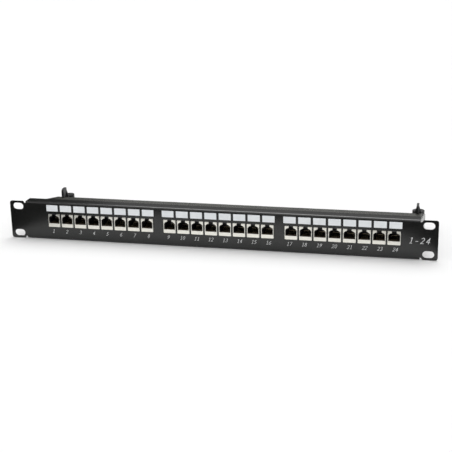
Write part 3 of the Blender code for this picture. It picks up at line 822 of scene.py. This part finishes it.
def fork_shape(size):
    """Forked contacts: two tines with a wire gap between them in every slot of both rows."""
    row = (size.y / 2 + BLOCK_GROOVE_WIDTH / 2) / 2
    low = size.z - SLOT_DEPTH - 0.3 * MM
    top = size.z - 2.2 * MM
    tines = []
    for x in block_slots():
        for side in (-1, 1):
            inner, outer = x + side * 0.09 * MM, x + side * SLOT_WIDTH * 0.49
            outline = [(inner, low), (outer, low), (outer, top), (inner + side * 0.12 * MM, top - 0.9 * MM)]
            outline.append((inner, top - 1.5 * MM))
            for centre in (-row, row):
                tines.append(prism(outline, "Y", centre - 0.25 * MM, centre + 0.25 * MM))
    return joined(tines)


def code_strip(name):
    """The printed wiring code: one patch for each slot, in the four usual pair colours and white."""
    made = Nodes(name)
    axes = made.add("ShaderNodeSeparateXYZ", Vector=made.coordinates)
    length = BLOCK_SLOTS * SLOT_PITCH
    share = made.add("ShaderNodeMapRange", Value=axes.outputs["X"])
    share.inputs["From Min"].default_value = -length / 2
    share.inputs["From Max"].default_value = length / 2
    ramp = made.add("ShaderNodeValToRGB", Fac=share.outputs["Result"])
    ramp.color_ramp.interpolation = "CONSTANT"
    white = (0.80, 0.80, 0.77, 1.0)
    orange, green = (0.80, 0.22, 0.03, 1.0), (0.03, 0.30, 0.08, 1.0)
    blue, brown = (0.03, 0.11, 0.50, 1.0), (0.20, 0.08, 0.03, 1.0)
    stops = []
    for place, color in enumerate((orange, orange, green, green, blue, blue, brown, brown)):
        start = place / BLOCK_SLOTS
        inner = 0.14 / BLOCK_SLOTS
        split = 0.5 / BLOCK_SLOTS
        stops.append((start, white))
        stops.append((start + (split if place % 2 == 0 else inner), color))
        stops.append((start + 1 / BLOCK_SLOTS - inner, white))
    elements = ramp.color_ramp.elements
    elements[0].color = white
    elements.remove(elements[1])
    for position, color in stops[1:]:
        elements.new(position).color = color
    grain = made.noise(4000.0, 2.0)
    made.set(Base_Color=ramp.outputs["Color"], Roughness=made.between(grain, 0.4, 0.5))
    return made.material


def block_parts():
    ivory = moulded("block_ivory", (0.62, 0.61, 0.57), 0.42)
    tinned = metal("tinned_fork", (0.78, 0.78, 0.77), 0.3, 1200.0)
    code = code_strip("wiring_code_print")
    low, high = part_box(BLOCKS[0])
    size = high - low
    body = finished_mesh("block_body", block_shape(size), 0.12 * MM, ivory)
    forks = mesh_of("block_forks", fork_shape(size))
    rail_x = size.x / 2 - 0.4 * MM
    rail_y = BLOCK_GROOVE_WIDTH / 2 - 0.1 * MM
    rail_low = (-rail_x, -rail_y, size.z - BLOCK_GROOVE_DEPTH - 0.1 * MM)
    rail_high = (rail_x, rail_y, size.z - 2.6 * MM)
    strip = finished_mesh("block_code", box(rail_low, rail_high), 0.15 * MM, code)
    for node in BLOCKS:
        number = node.split("_")[-1]
        low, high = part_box(node)
        place = ((low.x + high.x) / 2, (low.y + high.y) / 2, low.z)
        made = add_piece(f"block_body_{number}", body, ivory, "chassis", place)
        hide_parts(node)
        add_piece(f"block_forks_{number}", forks, tinned, "chassis", place)
        add_piece(f"block_code_{number}", strip, code, "chassis", place)


def track_shape(ports, top):
    """Copper tracks from each socket back to its half block, with a bend in the middle of each."""
    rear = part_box(JACKS[0])[1].y
    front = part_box(BLOCKS[0])[0].y
    start, end = rear + 0.8 * MM, front + 1.5 * MM
    half = TRACK_HALF
    middle = (CONTACTS - 1) / 2
    tracks = []
    for port in ports:
        low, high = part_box(JACKS[port])
        centre = (low.x + high.x) / 2
        for number, x in enumerate(contact_places()):
            spread = (number - middle) * TRACK_SPREAD
            bend = start + 2.0 * MM + abs(number - middle) * TRACK_STAGGER
            route = [(centre + x, start), (centre + x, bend), (centre + spread, bend + abs(spread - x))]
            route.append((centre + spread, end))
            outline = [(px - half, py) for px, py in route] + [(px + half, py) for px, py in route[::-1]]
            tracks.append(prism(outline, "Z", top + TRACK_LOW, top + TRACK_HIGH))
            pad = arc((centre + x, start), PAD_RADIUS, 0.0, 360.0, 12)[:-1]
            tracks.append(prism(pad, "Z", top + TRACK_LOW, top + TRACK_HIGH))
    return joined(tracks)


def solder_shape(ports, top):
    """Soldered lugs: one joint behind each rear corner of every socket's shell."""
    joints = []
    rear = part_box(JACKS[0])[1].y
    for port in ports:
        low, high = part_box(JACKS[port])
        for x in (low.x + LUG_INSET, high.x - LUG_INSET):
            joint = turned(
                [
                    (0.0, -0.05 * MM),
                    (0.95 * MM, -0.05 * MM),
                    (0.85 * MM, 0.12 * MM),
                    (0.5 * MM, 0.45 * MM),
                    (0.3 * MM, 0.85 * MM),
                    (0.0, 0.95 * MM),
                ],
                16,
            )
            bmesh.ops.translate(joint, vec=(x, rear + LUG_BEHIND, top), verts=joint.verts)
            joints.append(joint)
    return joined(joints)


def screw_shape(head, height, shank, length):
    """A pan-head screw with a cross recess, its head's underside at Z 0."""
    steps = 6
    first = math.radians(15.0)
    dome = []
    for step in range(steps + 1):
        turn = math.radians(15.0 + 75.0 * step / steps)
        dome.append((head * math.cos(turn) / math.cos(first), height * (0.35 + 0.65 * math.sin(turn))))
    dome[-1] = (0.0, height)
    profile = [(0.0, -length), (shank * 0.8, -length), (shank, -length + 0.3 * MM), (shank, 0.0)]
    profile += [(head * 0.97, 0.0), (head, 0.12 * MM), *dome]
    made = turned(profile)
    arm, half = head * 0.62, head * 0.13
    deep = height * 0.42
    recess = [
        box((-arm, -half, height - deep), (arm, half, height + MM)),
        box((-half, -arm, height - deep), (half, arm, height + MM)),
    ]
    return combined(made, *[("DIFFERENCE", cut) for cut in recess])


def board_parts():
    mask = solder_mask("green_solder_mask")
    copper = moulded("masked_copper", (0.035, 0.235, 0.10), 0.26, 0.002)
    solder = metal("solder_tin", (0.80, 0.80, 0.79), 0.26, 700.0)
    zinc = metal("bright_zinc", (0.72, 0.74, 0.76), 0.28, 700.0)
    brass = metal("turned_brass", (0.78, 0.60, 0.29), 0.27, 500.0, (0.4, 0.4, 9.0))
    ports_each = len(JACKS) // len(BOARDS)
    shape = screw_shape(SCREW_HEAD, SCREW_HEAD_HEIGHT, SCREW_SHANK, SCREW_LENGTH)
    screw = finished_mesh("board_screw", shape, 0.08 * MM, zinc)
    for number, node in enumerate(BOARDS):
        soft_copy(node, mask, 0.12 * MM)
        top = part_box(node)[1].z
        ports = range(number * ports_each, (number + 1) * ports_each)
        tracks = mesh_of(f"board_tracks_{number + 1}", track_shape(ports, top))
        add_piece(f"board_tracks_{number + 1}", tracks, copper, "chassis")
        joints = mesh_of(f"board_solder_{number + 1}", solder_shape(ports, top))
        joints.shade_smooth()
        joints.set_sharp_from_angle(angle=math.radians(50.0))
        add_piece(f"board_solder_{number + 1}", joints, solder, "chassis")
    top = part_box(BOARDS[0])[1].z
    for node in STANDOFFS:
        number = node.split("_")[-1]
        soft_copy(node, brass, 0.2 * MM)
        low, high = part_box(node)
        place = ((low.x + high.x) / 2, (low.y + high.y) / 2, top + 0.02 * MM)
        add_piece(f"board_screw_{number}", screw, zinc, "chassis", place)
    return zinc, brass


# ---------------------------------------------------------------- latches and fasteners


def latch_parts(zinc):
    nylon = moulded("black_nylon_moulding", (0.012, 0.012, 0.013), 0.42, 0.02)
    for side in ("left", "right"):
        soft_copy(f"latch_{side}", nylon, 0.4 * MM, 3)
        soft_copy(f"latch_pivot_{side}", zinc, 0.3 * MM, 3)


def tray_screw_parts(zinc):
    """Countersunk screws from below, each with a cross recess."""
    for node in ("tray_screw_1", "tray_screw_2"):
        source = frame["nodes"][node]
        low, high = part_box(node)
        centre = (low + high) / 2
        head = (high.x - low.x) / 2
        arm, half, deep = head * 0.6, head * 0.14, 0.8 * MM
        shape = bmesh.new()
        shape.from_mesh(source.data)
        bmesh.ops.remove_doubles(shape, verts=shape.verts, dist=0.002 * MM)
        recess = []
        for reach_x, reach_y in ((arm, half), (half, arm)):
            corner = (centre.x - reach_x, centre.y - reach_y, low.z - MM)
            recess.append(box(corner, (centre.x + reach_x, centre.y + reach_y, low.z + deep)))
        shape = flattened(combined(shape, *[("DIFFERENCE", cut) for cut in recess]))
        made = add_piece(f"{node}_skin", mesh_of(f"{node}_skin", shape), zinc, "chassis")
        soften(made, 0.08 * MM)
        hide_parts(node)


def stud_shape(radius, length):
    """The earthing stud: a turned rod with a ring for each turn of its thread, and a tapered top."""
    root = radius - THREAD_DEPTH
    profile = [(0.0, 0.0), (radius - 0.3 * MM, 0.0)]
    for turn in range(int(length / THREAD_PITCH) - 1):
        z = 0.3 * MM + turn * THREAD_PITCH
        profile.append((radius, z + THREAD_PITCH * 0.25))
        profile.append((radius, z + THREAD_PITCH * 0.37))
        profile.append((root, z + THREAD_PITCH * 0.85))
    profile += [(radius - 0.5 * MM, length - 0.1 * MM), (radius - 0.7 * MM, length), (0.0, length)]
    return turned(profile)


def nut_shape(corner, height, bore):
    """A hexagon nut with chamfered corners and a plain bore, from its radius at the corners."""
    flats = corner * math.cos(math.radians(30.0))
    body = prism(arc((0.0, 0.0), corner, 0.0, 360.0, 6)[:-1], "Z", 0.0, height)
    dome = turned(
        [
            (0.0, -0.01 * MM),
            (flats * 0.98, -0.01 * MM),
            (corner * 1.02, (corner - flats) * 0.6),
            (corner * 1.02, height - (corner - flats) * 0.6),
            (flats * 0.98, height + 0.01 * MM),
            (0.0, height + 0.01 * MM),
        ],
        48,
    )
    hole = prism(arc((0.0, 0.0), bore, 0.0, 360.0, 32)[:-1], "Z", -MM, height + MM)
    return flattened(combined(body, ("INTERSECT", dome), ("DIFFERENCE", hole)))


def ground_parts(zinc, brass):
    """The earthing stud with its thread, and the nut on it."""
    low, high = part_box("ground_stud")
    radius = (high.x - low.x) / 2
    place = ((low.x + high.x) / 2, (low.y + high.y) / 2, low.z)
    stud = mesh_of("ground_stud_thread", stud_shape(radius, high.z - low.z))
    made = add_piece("ground_stud_thread", stud, zinc, "chassis", place)
    soften(made, 0.03 * MM)
    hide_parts("ground_stud")

    low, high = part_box("ground_nut")
    nut = mesh_of("ground_nut_skin", nut_shape((high.x - low.x) / 2, high.z - low.z, radius + 0.12 * MM))
    made = add_piece("ground_nut_skin", nut, brass, "chassis", place)
    soften(made, 0.12 * MM)
    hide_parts("ground_nut")


# ---------------------------------------------------------------- studio


def add_stage():
    """A wide white floor."""
    floor = bpy.data.objects.new("floor", bpy.data.meshes.new("floor"))
    reach = FLOOR_REACH
    shape = bmesh.new()
    corners = [(-reach, -reach), (reach, -reach), (reach, reach), (-reach, reach)]
    shape.faces.new([shape.verts.new((x, y, -FLOOR_GAP)) for x, y in corners])
    shape.to_mesh(floor.data)
    shape.free()
    floor.data.materials.append(plain_stage("white_floor", (0.93, 0.93, 0.93), 0.6))
    bpy.context.scene.collection.objects.link(floor)


def add_card():
    """A dark card flat on the floor in front, which leaves an oval of bright floor before the panel."""
    card = bpy.data.objects.new("dark_card", bpy.data.meshes.new("dark_card"))
    shape = bmesh.new()
    near, far = [], []
    steps = 48
    for step in range(steps + 1):
        turn = math.pi + math.pi * step / steps
        x, y = math.cos(turn), math.sin(turn)
        near.append(shape.verts.new((POOL_X + POOL_REACH_X * x, PLATE_Y + POOL_REACH_Y * y, CARD_HEIGHT)))
        far.append(shape.verts.new((CARD_REACH * x, PLATE_Y + CARD_REACH * y, CARD_HEIGHT)))
    for step in range(steps):
        shape.faces.new((near[step], near[step + 1], far[step + 1], far[step]))
    shape.to_mesh(card.data)
    shape.free()
    card.data.materials.append(plain_stage("dark_card", CARD_COLOR, 0.9))
    bpy.context.scene.collection.objects.link(card)
    reflections_only(card)


def add_shade():
    """A curved dark card above and behind, on the left, which keeps the panel's left end dim."""
    shade = bpy.data.objects.new("dark_shade", bpy.data.meshes.new("dark_shade"))
    shape = bmesh.new()
    curve = arc((PLATE_Y, PLATE_HIGH.z), SHADE_RADIUS, 0.0, SHADE_TURN, 24)
    near = [shape.verts.new((SHADE_EDGE, y, z)) for y, z in curve]
    far = [shape.verts.new((SHADE_END, y, z)) for y, z in curve]
    for step in range(len(curve) - 1):
        shape.faces.new((near[step], near[step + 1], far[step + 1], far[step]))
    shape.to_mesh(shade.data)
    shape.free()
    shade.data.materials.append(plain_stage("dark_shade", CARD_COLOR, 0.9))
    bpy.context.scene.collection.objects.link(shade)
    reflections_only(shade)


def reflections_only(card):
    """Hides a card from everything but glossy reflections."""
    card.visible_camera = False
    card.visible_diffuse = False
    card.visible_shadow = False
    card.visible_transmission = False


def add_key_light():
    """A broad soft light from above and behind, even all over the floor."""
    data = bpy.data.lights.new("key", "SUN")
    data.energy = KEY_POWER
    data.angle = math.radians(KEY_ANGLE)
    light = bpy.data.objects.new("key", data)
    light.rotation_euler = (math.radians(KEY_ELEVATION - 90.0), 0.0, math.radians(KEY_TURN))
    bpy.context.scene.collection.objects.link(light)


def add_strip_light():
    """A soft box above and behind that only reflections see: it draws the line along the bend."""
    data = bpy.data.lights.new("strip", "AREA")
    data.shape = "RECTANGLE"
    data.size, data.size_y = STRIP_SIZE
    data.energy = STRIP_POWER
    light = bpy.data.objects.new("strip", data)
    light.location = STRIP_PLACE
    target = Vector((STRIP_PLACE[0], PLATE_Y, PLATE_HIGH.z))
    light.rotation_euler = (target - light.location).to_track_quat("-Z", "Y").to_euler()
    light.visible_diffuse = False
    light.visible_camera = False
    bpy.context.scene.collection.objects.link(light)


def add_world():
    """A pale surround: brighter in front of the panel than behind it, and dark at the horizon."""
    world = bpy.data.worlds.new("studio")
    world.use_nodes = True
    tree = world.node_tree
    background = tree.nodes["Background"]
    direction = tree.nodes.new("ShaderNodeTexCoord").outputs["Generated"]
    axes = tree.nodes.new("ShaderNodeSeparateXYZ")
    tree.links.new(direction, axes.inputs["Vector"])
    depth = tree.nodes.new("ShaderNodeMapRange")
    depth.inputs["From Min"].default_value = -1.0
    depth.inputs["To Min"].default_value = WORLD_FRONT
    depth.inputs["To Max"].default_value = WORLD_BACK
    tree.links.new(axes.outputs["Y"], depth.inputs["Value"])
    height = tree.nodes.new("ShaderNodeMapRange")
    height.inputs["From Max"].default_value = WORLD_CLEAR
    height.inputs["To Min"].default_value = WORLD_HORIZON
    tree.links.new(axes.outputs["Z"], height.inputs["Value"])
    strength = tree.nodes.new("ShaderNodeMath")
    strength.operation = "MULTIPLY"
    tree.links.new(depth.outputs["Result"], strength.inputs[0])
    tree.links.new(height.outputs["Result"], strength.inputs[1])
    seen = tree.nodes.new("ShaderNodeLightPath").outputs["Is Camera Ray"]
    white = tree.nodes.new("ShaderNodeMix")
    tree.links.new(seen, white.inputs["Factor"])
    tree.links.new(strength.outputs["Value"], white.inputs["A"])
    white.inputs["B"].default_value = 1.0
    tree.links.new(white.outputs["Result"], background.inputs["Strength"])
    background.inputs["Color"].default_value = (1.0, 1.0, 1.0, 1.0)
    bpy.context.scene.world = world


def add_camera():
    data = bpy.data.cameras.new("camera")
    data.lens = CAMERA_LENS
    data.clip_end = 100.0
    camera = bpy.data.objects.new("camera", data)
    yaw = Matrix.Rotation(math.radians(CAMERA_YAW), 4, "Z")
    pitch = Matrix.Rotation(math.radians(90.0 - CAMERA_PITCH), 4, "X")
    roll = Matrix.Rotation(math.radians(CAMERA_ROLL), 4, "Z")
    camera.matrix_world = Matrix.Translation(CAMERA_PLACE) @ yaw @ pitch @ roll
    bpy.context.scene.collection.objects.link(camera)
    bpy.context.scene.camera = camera


def main():
    add_camera()
    add_world()
    add_stage()
    add_card()
    add_shade()
    add_key_light()
    add_strip_light()
    scene = bpy.context.scene
    scene.view_settings.view_transform = "Standard"
    sheet_parts()
    socket_parts()
    label_parts()
    printing()
    block_parts()
    zinc, brass = board_parts()
    latch_parts(zinc)
    tray_screw_parts(zinc)
    ground_parts(zinc, brass)


main()
